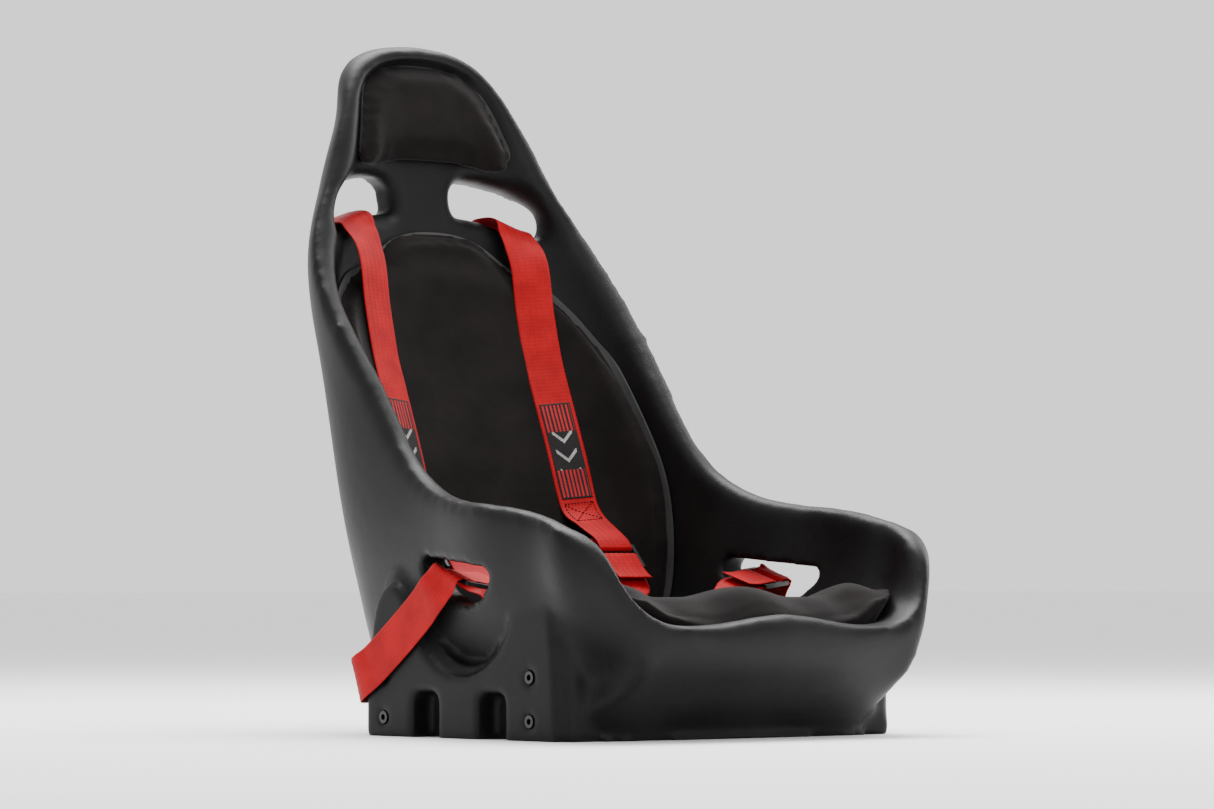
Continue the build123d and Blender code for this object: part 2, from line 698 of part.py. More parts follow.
def knob():
    """The turning knob: a dished disc with a raised grip bar, on a short shaft through the housing."""
    top = BASE_PLATE + HOUSING_HEIGHT
    body = disc(26, top + 0.3, top + 4)
    body = fillet(body.edges().group_by(Axis.Z)[-1], 1.5)
    grip = buckle_place(top + 4 + 2) * Box(40, 9, 5)
    grip = fillet(grip.edges().filter_by(Axis.Z), 4)
    shaft = disc(SHAFT_RADIUS, top - 3, top + 1)
    return body + grip + shaft


# ---------------------------------------------------------------- small parts

def threaded_inserts():
    """Four M8 threaded inserts moulded into a side plate."""
    group = []
    for y, z in bolt_places():
        place = Pos(BASE_HALF_WIDTH - INSERT_LENGTH / 2, y, z) * Rot(0, 90, 0)
        bore = Pos(0, 0, INSERT_FLOOR) * Cylinder(THREAD_RADIUS, INSERT_LENGTH)
        group.append(place * (Cylinder(INSERT_RADIUS, INSERT_LENGTH) - bore))
    return group


def hook_strips(boxes):
    """Hook-and-loop strips between the shell and a pad, cut from a thin layer on the skin."""
    layer = tub_space(-HOOK_GAP) - tub_space(-HOOK_DEPTH)
    return [layer & box for box in boxes]


def both_sides(part):
    return [part, mirror(part, Plane.YZ)]


def save(name, *solids):
    """Writes one node. Several solids become a group in one file."""
    shape = solids[0] if len(solids) == 1 else Compound(children=list(solids))
    export_step(shape, f"parts/{name}.step")
    box = shape.bounding_box()
    corners = [round(value, 1) for value in (*box.min, *box.max)]
    print(name, round(shape.volume), len(shape.solids()), corners, flush=True)


def pair(name, part):
    """Writes a part of the +X side and its mirror image. The driver's left is +X."""
    left, right = both_sides(part)
    save(f"{name}_left", left)
    save(f"{name}_right", right)


# ---------------------------------------------------------------- assembly

def make_pads():
    floor = HOOK_DEPTH + GAP
    for name, outline in (("headrest_pad", head_outline), ("back_pad", back_outline)):
        core = pad_layer(outline(COVER), floor, FOAM_DEPTH)
        save(f"{name}_cover", pad_layer(outline(0), floor, PAD_DEPTH) - core)
        save(f"{name}_backing", pad_layer(outline(COVER), floor, BOARD_DEPTH))
        save(f"{name}_foam", pad_layer(outline(COVER), BOARD_DEPTH, FOAM_DEPTH))
    core = seat_space(floor, COVER, COVER)
    foam = seat_space(BOARD_DEPTH, COVER, COVER)
    save("seat_pad_cover", seat_space(floor, 0, 0) - core)
    save("seat_pad_backing", core - foam)
    save("seat_pad_foam", foam)


def make_hook_strips():
    head = [Pos(60, 350, 730) * Box(25, 200, 80)]
    back = [Pos(60, 350, z) * Box(25, 200, 100) for z in (480, 250)]
    seat = [Pos(70, y, INNER[0][0]) * Box(40, 60, 8) for y in (-130, 60)]
    for name, boxes in (("headrest_pad", head), ("back_pad", back), ("seat_pad", seat)):
        strips = [strip for half in hook_strips(boxes) for strip in both_sides(half)]
        save(f"{name}_hook_strips", *strips)


def make_harness():
    pair("shoulder_strap", shoulder_upper())
    pair("strap_label", label())
    pair("shoulder_adjuster", adjuster(SHOULDER_PLANE))
    pair("shoulder_strap_wrap", wrap(SHOULDER_PLANE))
    pair("shoulder_strap_lower", shoulder_lower())
    pair("shoulder_tongue", tongue(SHOULDER_ANGLE))
    save("lap_belt", lap_belt())
    pair("lap_adjuster", adjuster(LAP_PLANE))
    pair("lap_strap_wrap", wrap(LAP_PLANE))
    pair("lap_strap_inner", lap_inner())
    pair("lap_tongue", tongue(LAP_ANGLE))


def make_buckle():
    save("buckle_base", buckle_base())
    save("buckle_housing", buckle_housing())
    save("buckle_latch_plate", latch_plate())
    save("buckle_latch_spring", latch_spring())
    save("buckle_knob", knob())
    save("buckle_rivets", *rivets())


if __name__ == "__main__":
    make_harness()
    make_buckle()
    save("mounting_inserts_left", *threaded_inserts())
    save("mounting_inserts_right", *[mirror(one, Plane.YZ) for one in threaded_inserts()])
    make_hook_strips()
    make_pads()
    half = shell_half()
    save("seat_shell", half + mirror(half, Plane.YZ))
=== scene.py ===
import json
import math

import bmesh
import bpy
import numpy as np
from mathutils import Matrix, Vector


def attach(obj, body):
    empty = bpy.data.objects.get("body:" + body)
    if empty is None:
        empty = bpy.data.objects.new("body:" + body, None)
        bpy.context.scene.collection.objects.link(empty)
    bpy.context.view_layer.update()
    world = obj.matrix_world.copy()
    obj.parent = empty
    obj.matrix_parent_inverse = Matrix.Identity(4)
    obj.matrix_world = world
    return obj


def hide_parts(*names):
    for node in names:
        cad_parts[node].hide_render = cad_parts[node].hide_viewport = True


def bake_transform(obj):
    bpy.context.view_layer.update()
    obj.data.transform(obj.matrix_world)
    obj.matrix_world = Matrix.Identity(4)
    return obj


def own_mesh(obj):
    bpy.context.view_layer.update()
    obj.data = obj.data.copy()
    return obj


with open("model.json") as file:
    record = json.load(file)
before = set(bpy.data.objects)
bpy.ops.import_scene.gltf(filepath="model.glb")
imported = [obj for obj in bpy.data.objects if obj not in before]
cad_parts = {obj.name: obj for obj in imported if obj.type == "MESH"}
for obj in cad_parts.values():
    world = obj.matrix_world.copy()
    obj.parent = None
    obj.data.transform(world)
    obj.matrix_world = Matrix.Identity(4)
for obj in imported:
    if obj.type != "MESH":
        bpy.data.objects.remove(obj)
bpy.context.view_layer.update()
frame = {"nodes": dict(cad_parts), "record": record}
NODES = frame["nodes"]
SIDES = {"left": 1, "right": -1}

# ---------------------------------------------------------------- measures, in metres

WEBBING_WIDTH = 0.050
WEBBING = 0.0018
RIBS = 6
STRAP_STEP = 0.004
SHELL_VOXEL = 0.0042
PAD_VOXEL = 0.005
PAD_WRAP = 0.0035

# How far the seat pad's top rises and falls: bolsters, middle and valleys at the front, sides behind.
BOLSTER_RISE = 0.011
MIDDLE_RISE = 0.004
VALLEY_DROP = 0.008
REAR_DROP = 0.006

# The rim's centre line from the side, as (y, z), which the smoothing of the rolled rim follows.
RIM = [
    (-0.262, 0.135), (-0.248, 0.151), (-0.222, 0.196), (-0.167, 0.227), (-0.056, 0.246), (0.040, 0.259),
    (0.114, 0.294), (0.177, 0.363), (0.231, 0.437), (0.283, 0.505), (0.330, 0.591), (0.362, 0.705),
    (0.384, 0.771), (0.404, 0.830),
]
RIM_REACH = 0.034
RIM_ROUNDS = 30
LIP_Y = -0.205
LIP_Z = 0.100
HEAD_Z = 0.690
CORNER_Y = -0.185

# The shoulder strap, as (y, z, across), up the back, through the slot and down the back pad.
STRAP_X = 0.120
BACK_SLANT = (1, -0.27, 0)
SLOT_SLANT = (1, 0, -0.333)
PAD_SLANT = (1, -0.28, 0)
SHOULDER_RUN = [
    (0.289, 0.155, BACK_SLANT), (0.321, 0.270, BACK_SLANT), (0.352, 0.400, BACK_SLANT),
    (0.383, 0.525, BACK_SLANT), (0.400, 0.587, (1, -0.3, -0.15)), (0.402, 0.600, (1, -0.12, -0.333)),
    (0.388, 0.6045, SLOT_SLANT), (0.360, 0.603, SLOT_SLANT), (0.346, 0.591, (1, -0.2, -0.2)),
    (0.327, 0.566, PAD_SLANT), (0.319, 0.545, PAD_SLANT), (0.3115, 0.500, PAD_SLANT),
    (0.296, 0.440, PAD_SLANT), (0.281, 0.400, PAD_SLANT), (0.2535, 0.330, PAD_SLANT),
    (0.2315, 0.270, PAD_SLANT), (0.222, 0.255, PAD_SLANT), (0.198, 0.240, (1, -0.12, 0)),
]
LABEL_RUN = [(0.2755, 0.386, PAD_SLANT), (0.2535, 0.330, PAD_SLANT), (0.2322, 0.272, PAD_SLANT)]

# The lap strap's outer run, and where it lies round the rear of the base, as (point, across).
LAP_RISE = (0, 0.59, 0.81)
LAP_OUTER = [
    ((0.247, 0.187, 0.061), (0.15, 0.15, 1)), ((0.255, 0.173, 0.066), (0.05, 0.35, 0.93)),
    ((0.254, 0.150, 0.079), LAP_RISE), ((0.254, 0.100, 0.114), LAP_RISE), ((0.255, 0.060, 0.144), LAP_RISE),
    ((0.256, 0.042, 0.160), (0, 0.72, 0.69)), ((0.252, 0.031, 0.173), (0, 0.86, 0.51)),
]
LAP_REAR = [
    ((0.030, 0.2745, 0.060), (0, 0.28, 1)), ((0.078, 0.2725, 0.060), (0, 0.28, 1)),
    ((0.113, 0.266, 0.060), (0.08, 0.27, 1)), ((0.145, 0.254, 0.060), (0.15, 0.25, 1)),
    ((0.172, 0.241, 0.060), (0.18, 0.22, 1)), ((0.196, 0.226, 0.060), (0.22, 0.2, 1)),
]

# Adjusters: three bars on a frame. The strap's distance from a bar's middle is LEG.
BAR_PITCH = 0.013
LEG = 0.00315

# The buckle and its tongues.
BUCKLE = Vector((0, 0.015, 0.13325))
TONGUE_BAR = 0.0655
SHOULDER_ANGLE = 55.0
LAP_ANGLE = -12.0


class Adjuster:
    """An adjuster's own axes: X along its bars, Y back up the strap, Z away from the seat."""

    def __init__(self, origin, across, normal):
        self.origin = Vector(origin)
        self.x = Vector(across).normalized()
        self.z = Vector(normal)
        self.z = (self.z - self.x * self.z.dot(self.x)).normalized()
        self.y = self.z.cross(self.x)

    def point(self, y, z):
        return self.origin + self.y * y + self.z * z


SHOULDER_ADJUSTER = Adjuster((STRAP_X, 0.165, 0.213), (1, 0, 0), (0, -0.75, 0.66))
LAP_ADJUSTER = Adjuster((0.238, 0.024, 0.180), (0, -0.96, -0.28), (-0.15, -0.28, 0.95))


# ---------------------------------------------------------------- mesh helpers

def coordinates(mesh):
    points = np.empty(len(mesh.vertices) * 3)
    mesh.vertices.foreach_get("co", points)
    return points.reshape(-1, 3)


def set_coordinates(mesh, points):
    mesh.vertices.foreach_set("co", points.ravel())
    mesh.update()


def normals(mesh):
    values = np.empty(len(mesh.vertices) * 3, dtype=np.float32)
    mesh.vertex_normals.foreach_get("vector", values)
    return values.reshape(-1, 3)


def new_object(name, mesh):
    made = bpy.data.objects.new(name, mesh)
    bpy.context.scene.collection.objects.link(made)
    return made


def mesh_object(name, points, faces):
    mesh = bpy.data.meshes.new(name)
    mesh.from_pydata([tuple(p) for p in points], [], faces)
    mesh.polygons.foreach_set("use_smooth", [True] * len(mesh.polygons))
    return new_object(name, mesh)


def node_copy(name, *nodes):
    """A welded copy of the meshes of some CAD nodes, to be reshaped."""
    mesh = bpy.data.meshes.new(name)
    work = bmesh.new()
    for node in nodes:
        work.from_mesh(NODES[node].data)
    bmesh.ops.remove_doubles(work, verts=work.verts, dist=1e-5)
    work.to_mesh(mesh)
    work.free()
    return new_object(name, mesh)


def bake(obj):
    """Applies an object's modifiers."""
    graph = bpy.context.evaluated_depsgraph_get()
    mesh = bpy.data.meshes.new_from_object(obj.evaluated_get(graph))
    obj.modifiers.clear()
    obj.data = mesh
    mesh.polygons.foreach_set("use_smooth", [True] * len(mesh.polygons))


def remesh(obj, voxel):
    modifier = obj.modifiers.new("remesh", "REMESH")
    modifier.mode = "VOXEL"
    modifier.voxel_size = voxel
    bake(obj)


def subdivide(obj):
    obj.modifiers.new("smooth", "SUBSURF").levels = 1
    bake(obj)


def relax(mesh, weight, rounds):
    """Moves each vertex towards the mean of its neighbours, by its weight, a number of times."""
    points = coordinates(mesh)
    edges = np.empty(len(mesh.edges) * 2, dtype=np.int64)
    mesh.edges.foreach_get("vertices", edges)
    a, b = edges.reshape(-1, 2).T
    count = len(points)
    degree = np.bincount(a, minlength=count) + np.bincount(b, minlength=count)
    step = (0.5 * weight)[:, None]
    for _ in range(rounds):
        total = np.empty_like(points)
        for k in range(3):
            total[:, k] = (np.bincount(a, weights=points[b, k], minlength=count)
                           + np.bincount(b, weights=points[a, k], minlength=count))
        points += step * (total / degree[:, None] - points)
    set_coordinates(mesh, points)


def distance_to_line(y, z, line):
    """How far each (y, z) lies from a polyline."""
    best = np.full(len(y), np.inf)
    for (y0, z0), (y1, z1) in zip(line, line[1:]):
        dy, dz = y1 - y0, z1 - z0
        along = np.clip(((y - y0) * dy + (z - z0) * dz) / (dy * dy + dz * dz), 0, 1)
        best = np.minimum(best, np.hypot(y - y0 - along * dy, z - z0 - along * dz))
    return best


def faded(value, low, high):
    """0 at low, 1 at high, and a smooth step between."""
    share = np.clip((value - low) / (high - low), 0, 1)
    return share * share * (3 - 2 * share)


# ---------------------------------------------------------------- materials

def shader_tree(name, colour, roughness, metallic=0.0):
    material = bpy.data.materials.new(name)
    material.use_nodes = True
    shader = material.node_tree.nodes["Principled BSDF"]
    shader.inputs["Base Color"].default_value = (*colour, 1)
    shader.inputs["Roughness"].default_value = roughness
    shader.inputs["Metallic"].default_value = metallic
    return material, material.node_tree, shader


def noise(tree, scale, detail=2.0, stretch=(1, 1, 1), source="Object"):
    place = tree.nodes.new("ShaderNodeTexCoord")
    mapping = tree.nodes.new("ShaderNodeMapping")
    mapping.inputs["Scale"].default_value = stretch
    texture = tree.nodes.new("ShaderNodeTexNoise")
    texture.inputs["Scale"].default_value = scale
    texture.inputs["Detail"].default_value = detail
    tree.links.new(place.outputs[source], mapping.inputs["Vector"])
    tree.links.new(mapping.outputs["Vector"], texture.inputs["Vector"])
    return texture.outputs["Fac"]


def ramp(tree, value, low, high, start=0.3, end=0.7):
    """A colour between low and high as a value goes from start to end."""
    node = tree.nodes.new("ShaderNodeValToRGB")
    for element, place, colour in zip(node.color_ramp.elements, (start, end), (low, high)):
        element.position = place
        element.color = (*colour, 1)
    tree.links.new(value, node.inputs["Fac"])
    return node.outputs["Color"]


def bump(tree, height, strength, distance, below=None):
    node = tree.nodes.new("ShaderNodeBump")
    node.inputs["Strength"].default_value = strength
    node.inputs["Distance"].default_value = distance
    tree.links.new(height, node.inputs["Height"])
    if below is not None:
        tree.links.new(below, node.inputs["Normal"])
    return node.outputs["Normal"]


def varied(tree, value, low, high):
    """A roughness between low and high, varied by a texture."""
    node = tree.nodes.new("ShaderNodeMapRange")
    node.inputs["To Min"].default_value = low
    node.inputs["To Max"].default_value = high
    tree.links.new(value, node.inputs["Value"])
    return node.outputs["Result"]


def moulded_plastic(name, colour, grain, grain_depth, roughness):
    """Grained black plastic: fine pebbles, patchy gloss and slightly paler scuffs."""
    material, tree, shader = shader_tree(name, colour, roughness)
    patches = noise(tree, 9, 3)
    paler = tuple(min(1, 1.6 * value + 0.003) for value in colour)
    tree.links.new(ramp(tree, patches, colour, paler), shader.inputs["Base Color"])
    tree.links.new(varied(tree, patches, roughness - 0.06, roughness + 0.08), shader.inputs["Roughness"])
    broad = bump(tree, noise(tree, grain / 3, 2), 0.25, grain_depth)
    tree.links.new(bump(tree, noise(tree, grain, 3), 0.55, grain_depth, broad), shader.inputs["Normal"])
    shader.inputs["Specular IOR Level"].default_value = 0.13
    return material


def suede(name, colour):
    """Brushed suede: a short nap with a soft sheen, and patches brushed the other way."""
    material, tree, shader = shader_tree(name, colour, 0.95)
    patches = noise(tree, 14, 4)
    brushed = tuple(2.1 * value for value in colour)
    tree.links.new(ramp(tree, patches, colour, brushed, 0.35, 0.75), shader.inputs["Base Color"])
    nap = bump(tree, noise(tree, 1500, 2), 0.5, 0.0006)
    tree.links.new(bump(tree, noise(tree, 120, 4), 0.25, 0.0012, nap), shader.inputs["Normal"])
    shader.inputs["Sheen Weight"].default_value = 0.07
    shader.inputs["Sheen Roughness"].default_value = 0.35
    shader.inputs["Specular IOR Level"].default_value = 0.1
    return material


def woven(name, colour, threads=1400, sheen=0.03):
    """Woven webbing: fine crossed threads, laid by the piece's UV."""
    material, tree, shader = shader_tree(name, colour, 0.62)
    place = tree.nodes.new("ShaderNodeTexCoord")
    height = None
    for direction in ("X", "Y"):
        wave = tree.nodes.new("ShaderNodeTexWave")
        wave.bands_direction = direction
        wave.inputs["Scale"].default_value = threads / 20
        wave.inputs["Distortion"].default_value = 0.6
        tree.links.new(place.outputs["UV"], wave.inputs["Vector"])
        height = bump(tree, wave.outputs["Fac"], 0.35, 0.0003, height)
    tree.links.new(height, shader.inputs["Normal"])
    patches = noise(tree, 40, 3)
    darker = tuple(0.72 * value for value in colour)
    tree.links.new(ramp(tree, patches, darker, colour), shader.inputs["Base Color"])
    shader.inputs["Sheen Weight"].default_value = sheen
    shader.inputs["Sheen Roughness"].default_value = 0.35
    shader.inputs["Specular IOR Level"].default_value = 0.14
    return material


def metal(name, colour, roughness, metallic=1.0, stretch=(1, 1, 12)):
    """Brushed or painted metal: fine drawn lines and a little wear in the gloss."""
    material, tree, shader = shader_tree(name, colour, roughness, metallic)
    lines = noise(tree, 260, 4, stretch)
    tree.links.new(bump(tree, lines, 0.2, 0.0002), shader.inputs["Normal"])
    tree.links.new(varied(tree, noise(tree, 60, 3), roughness - 0.08, roughness + 0.12),
                   shader.inputs["Roughness"])
    return material


def foam(name, colour):
    material, tree, shader = shader_tree(name, colour, 0.95)
    tree.links.new(bump(tree, noise(tree, 700, 3), 0.6, 0.0006), shader.inputs["Normal"])
    tree.links.new(ramp(tree, noise(tree, 300, 2), tuple(0.7 * c for c in colour), colour),
                   shader.inputs["Base Color"])
    return material


SHELL = moulded_plastic("shell_plastic", (0.0032, 0.0032, 0.0034), 900, 0.0005, 0.40)
KNOB = moulded_plastic("knob_plastic", (0.02, 0.02, 0.02), 1500, 0.0002, 0.35)
BOARD = moulded_plastic("backing_board", (0.03, 0.03, 0.03), 500, 0.0002, 0.6)
SUEDE = suede("pad_suede", (0.0052, 0.0042, 0.0040))
WEB = woven("webbing", (0.36, 0.0006, 0.004))
THREAD = woven("thread", (0.03, 0.001, 0.002))
LABEL_BLACK = woven("label_black", (0.012, 0.010, 0.010), 2600, 0.1)
LABEL_RED = woven("label_red", (0.42, 0.010, 0.016), 2600, 0.1)
LABEL_GREY = woven("label_grey", (0.32, 0.31, 0.30), 2600, 0.1)
HOOK = woven("hook_tape", (0.02, 0.02, 0.02), 900, 0.1)
FOAM = foam("pad_foam", (0.12, 0.115, 0.11))
BLACK_METAL = metal("adjuster_metal", (0.02, 0.02, 0.02), 0.38, 0.3)
BUCKLE_METAL = metal("buckle_metal", (0.03, 0.03, 0.032), 0.34, 0.6)
STEEL = metal("tongue_steel", (0.55, 0.55, 0.56), 0.32)
BRASS = metal("insert_brass", (0.06, 0.057, 0.054), 0.35)

LOOKS = {
    "backing_board": BOARD, "pad_foam": FOAM, "hook_tape": HOOK, "adjuster_metal": BLACK_METAL,
    "buckle_metal": BUCKLE_METAL, "knob_plastic": KNOB, "tongue_steel": STEEL, "insert_brass": BRASS,
    "shell_plastic": SHELL, "pad_suede": SUEDE, "webbing": WEB, "label_weave": LABEL_BLACK,
}


def finish_nodes():
    """Gives every CAD node the look of its material slot."""
    for part in frame["record"]["subparts"]:
        node = NODES[part["node"]]
        look = LOOKS[part["material_slot"]]
        if not node.data.materials:
            node.data.materials.append(look)
        for place in range(len(node.material_slots)):
            node.material_slots[place].material = look


def piece(obj, body, slot, look, *replaced):
    """Gives a finished piece its look and its body, and hides the CAD nodes it stands for. The slot is not
    used.
    """
    if not obj.data.materials:
        obj.data.materials.append(look)
    if body is not None:
        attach(obj, body)
    if replaced:
        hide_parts(*replaced)
    return obj


# ---------------------------------------------------------------- shell

def shell():
    """The moulding, with its rim, front lip and head rolled over and its other edges just eased."""
    obj = node_copy("shell_moulding", "seat_shell")
    remesh(obj, SHELL_VOXEL)
    points = coordinates(obj.data)
    x, y, z = points.T
    rim = 1 - faded(distance_to_line(y, z, RIM), RIM_REACH, RIM_REACH + 0.012)
    lip = (1 - faded(y, LIP_Y, LIP_Y + 0.02)) * faded(z, LIP_Z, LIP_Z + 0.015)
    head = faded(z, HEAD_Z, HEAD_Z + 0.04)
    corner = (1 - faded(y, CORNER_Y, CORNER_Y + 0.03)) * faded(z, 0.01, 0.03)
    relax(obj.data, np.ones(len(points)), 2)
    relax(obj.data, np.maximum.reduce([0.6 * corner, rim, lip, head]), RIM_ROUNDS)
    return piece(obj, "seat", "shell_plastic", SHELL, "seat_shell")


# ---------------------------------------------------------------- pads

def swell(obj, facing, cap):
    """Puffs a pad up with cloth pressure, on the side that faces the driver.

    That side starts lower by cap and rises by at most cap, so it never lifts into the straps.
    """
    outwards = faded(normals(obj.data) @ np.array(facing), -0.1, 0.4)[:, None]
    before = coordinates(obj.data) - cap * outwards * normals(obj.data)
    set_coordinates(obj.data, before)
    cloth = obj.modifiers.new("swell", "CLOTH")
    cloth.settings.use_pressure = True
    cloth.settings.uniform_pressure_force = 4
    cloth.settings.effector_weights.gravity = 0
    scene = bpy.context.scene
    for step in range(1, 21):
        scene.frame_set(step)
    graph = bpy.context.evaluated_depsgraph_get()
    after = coordinates(obj.evaluated_get(graph).data)
    obj.modifiers.clear()
    scene.frame_set(1)
    move = after - before
    length = np.linalg.norm(move, axis=1) + 1e-9
    move *= (np.minimum(length, cap) / length)[:, None] * outwards
    set_coordinates(obj.data, before + move)


def pad(name, facing, cap, rounds, layers, shape=None):
    """A suede pad, swollen from its foam, cover and board, with rounded edges."""
    obj = node_copy(f"{name}_suede", f"{name}_cover", f"{name}_foam", f"{name}_backing")
    remesh(obj, PAD_VOXEL)
    if shape:
        shape(obj.data)
    relax(obj.data, np.ones(len(obj.data.vertices)), rounds)
    set_coordinates(obj.data, coordinates(obj.data) + PAD_WRAP * normals(obj.data))
    swell(obj, facing, cap)
    relax(obj.data, np.ones(len(obj.data.vertices)), 2)
    subdivide(obj)
    piece(obj, "seat", "pad_suede", SUEDE, *[f"{name}_{layer}" for layer in layers])
    return obj


def thigh_bolsters(mesh):
    """Raises the seat pad's front corners beside the thighs, leaves a valley for each leg, and
    draws the front edge down over the shell's lip."""
    points = coordinates(mesh)
    x, y, z = points.T
    top = faded(z, 0.105, 0.150)
    front = 1 - faded(y, -0.190, -0.040)
    bolster = faded(np.abs(x), 0.125, 0.185)
    middle = 1 - faded(np.abs(x), 0.0, 0.075)
    raised = BOLSTER_RISE * bolster + MIDDLE_RISE * middle
    lowered = VALLEY_DROP * (1 - bolster) * (1 - middle)
    points[:, 2] += top * front * (raised - lowered)
    points[:, 2] += top * (1 - front) * REAR_DROP * (bolster - 1)
    skirt = (1 - faded(y, -0.225, -0.185)) * (1 - faded(z, 0.100, 0.135))
    points[:, 1] -= 0.010 * skirt
    points[:, 2] -= 0.022 * skirt
    set_coordinates(mesh, points)


# ---------------------------------------------------------------- straps

def curve_through(stations):
    """Centres and across directions every STRAP_STEP or less on a smooth curve through stations."""
    centres = [Vector(centre) for centre, _ in stations]
    acrosses = [Vector(across).normalized() for _, across in stations]
    line, sides = [], []
    last = len(centres) - 1
    for index in range(last):
        a = centres[max(index - 1, 0)]
        b, c = centres[index], centres[index + 1]
        d = centres[min(index + 2, last)]
        span = (c - b).length
        start = (c - a).normalized() * span
        end = (d - b).normalized() * span
        count = max(2, math.ceil(span / STRAP_STEP))
        for place in range(count if index < last - 1 else count + 1):
            t = place / count
            line.append((2 * t**3 - 3 * t**2 + 1) * b + (t**3 - 2 * t**2 + t) * start
                        + (3 * t**2 - 2 * t**3) * c + (t**3 - t**2) * end)
            sides.append(acrosses[index].lerp(acrosses[index + 1], t * t * (3 - 2 * t)))
    return line, sides


def frames(stations):
    """Centre, across and normal at each step along a strap."""
    line, sides = curve_through(stations)
    result = []
    for index, (centre, side) in enumerate(zip(line, sides)):
        along = (line[min(index + 1, len(line) - 1)] - line[max(index - 1, 0)]).normalized()
        side = (side - along * side.dot(along)).normalized()
        result.append((centre, side, along.cross(side)))
    return result


def travelled(run):
    """How far along a run each of its steps is."""
    distances = [0.0]
    for (a, _, _), (b, _, _) in zip(run, run[1:]):
        distances.append(distances[-1] + (b - a).length)
    return distances


def half_thickness(across):
    """Half a strap's thickness at -1 to 1 across it: ribs with grooves between, and thin selvedges."""
    groove = abs(math.sin(across * math.pi * RIBS / 2)) ** 0.35
    edge = max(0.0, 1 - abs(across) ** 14)
    return WEBBING / 2 * (0.62 + 0.38 * groove) * (0.45 + 0.55 * edge)


def strap(name, stations):
    """A closed ribbon of ribbed webbing along a smooth curve, with length and width as UV."""
    cuts = 6 * RIBS + 1
    places = [2 * k / (cuts - 1) - 1 for k in range(cuts)]
    run = frames(stations)
    points, uvs = [], []
    for (centre, side, normal), along in zip(run, travelled(run)):
        for sign, order in ((1, places), (-1, places[::-1])):
            for place in order:
                across = place * WEBBING_WIDTH / 2
                points.append(centre + side * across + normal * (sign * half_thickness(place)))
                uvs.append((across, along))
    ring = 2 * cuts
    rings = len(points) // ring
    faces = []
    for row in range(rings - 1):
        for k in range(ring):
            a, b = row * ring + k, row * ring + (k + 1) % ring
            faces.append((a, b, b + ring, a + ring))
    faces.append(tuple(range(ring))[::-1])
    faces.append(tuple(range((rings - 1) * ring, rings * ring)))
    obj = mesh_object(name, points, faces)
    layer = obj.data.uv_layers.new(name="weave")
    for loop in obj.data.loops:
        layer.data[loop.index].uv = uvs[loop.vertex_index]
    return obj


def mirrored(stations, side):
    """Stations of the left strap, carried to the right side where side is -1, in the same order."""
    if side > 0:
        return stations
    return [((-x, y, z), (ax, -ay, -az)) for (x, y, z), (ax, ay, az) in stations]


def loop_round_bar(adjuster, entry, bar_y, turn, across):
    """Points of a strap that comes in at entry, goes round a bar and ends lying under itself."""
    points = [adjuster.point(entry, LEG)]
    for degrees in (90, 135, 180, 225, 270):
        angle = math.radians(degrees)
        y = bar_y + turn * LEG * math.cos(angle)
        points.append(adjuster.point(y, LEG * math.sin(angle)))
    return [(tuple(point), across) for point in points]


def shoulder_stations():
    run = [((STRAP_X, y, z), across) for y, z, across in SHOULDER_RUN]
    turn = loop_round_bar(SHOULDER_ADJUSTER, 0.012, 0, 1, (1, 0, 0))
    end = [(tuple(SHOULDER_ADJUSTER.point(y, -LEG)), (1, 0, 0)) for y in (0.008, 0.018)]
    return run + turn + end


def lap_stations():
    across = (0, 0.96, 0.28)
    turn = loop_round_bar(LAP_ADJUSTER, 0.010, 0, 1, across)
    end = [(tuple(LAP_ADJUSTER.point(y, -LEG)), across) for y in (0.006, 0.012)]
    half = LAP_REAR + LAP_OUTER + turn + end
    other = [((-x, y, z), (-ax, ay, az)) for (x, y, z), (ax, ay, az) in reversed(half)]
    return other + half


def tail_stations(adjuster, across, droop):
    """The free tail, over the last bar, round the middle bar and out under the last bar."""
    middle = -BAR_PITCH
    points = [adjuster.point(-0.052, LEG + droop), adjuster.point(-0.044, LEG + 0.4 * droop),
              adjuster.point(-0.034, LEG), adjuster.point(-0.022, LEG)]
    for degrees in (90, 45, 0, -45, -90):
        angle = math.radians(degrees)
        points.append(adjuster.point(middle + LEG * math.cos(angle), LEG * math.sin(angle)))
    points += [adjuster.point(-0.026, -LEG), adjuster.point(-0.038, -LEG), adjuster.point(-0.048, -LEG)]
    return [(tuple(point), across) for point in points]


def tongue_turn(angle):
    """The end of a strap: in to the tongue over its bar, round it and back under."""
    turned = math.radians(angle)
    out = Vector((math.cos(turned), math.sin(turned), 0))
    across = Vector((-math.sin(turned), math.cos(turned), 0))
    steps = [(0.084, 0.0), (0.074, 0.0022), (TONGUE_BAR, 0.0030), (0.0606, 0.0018), (0.0596, 0),
             (0.0606, -0.0018), (TONGUE_BAR, -0.0030), (0.074, -0.0022)]
    return [(tuple(BUCKLE + out * reach + Vector((0, 0, rise))), tuple(across)) for reach, rise in steps]


def lower_stations():
    """The shoulder strap below its adjuster, down to its tongue."""
    run = tail_stations(SHOULDER_ADJUSTER, (1, 0, 0), 0.004)
    run += [((0.108, 0.127, 0.167), (1, -0.15, 0)), ((0.086, 0.116, 0.150), (0.85, -0.5, 0))]
    turn = [(point, (-ax, -ay, -az)) for point, (ax, ay, az) in tongue_turn(SHOULDER_ANGLE)]
    return run + turn


def lap_inner_stations():
    run = tail_stations(LAP_ADJUSTER, (0, 0.96, 0.28), 0.003)
    run += [((0.178, 0.022, 0.163), (0, 0.98, 0.2)), ((0.148, 0.012, 0.149), (0, 1, 0.08)),
            ((0.110, 0.004, 0.138), (0, 1, 0))]
    return run + tongue_turn(LAP_ANGLE)


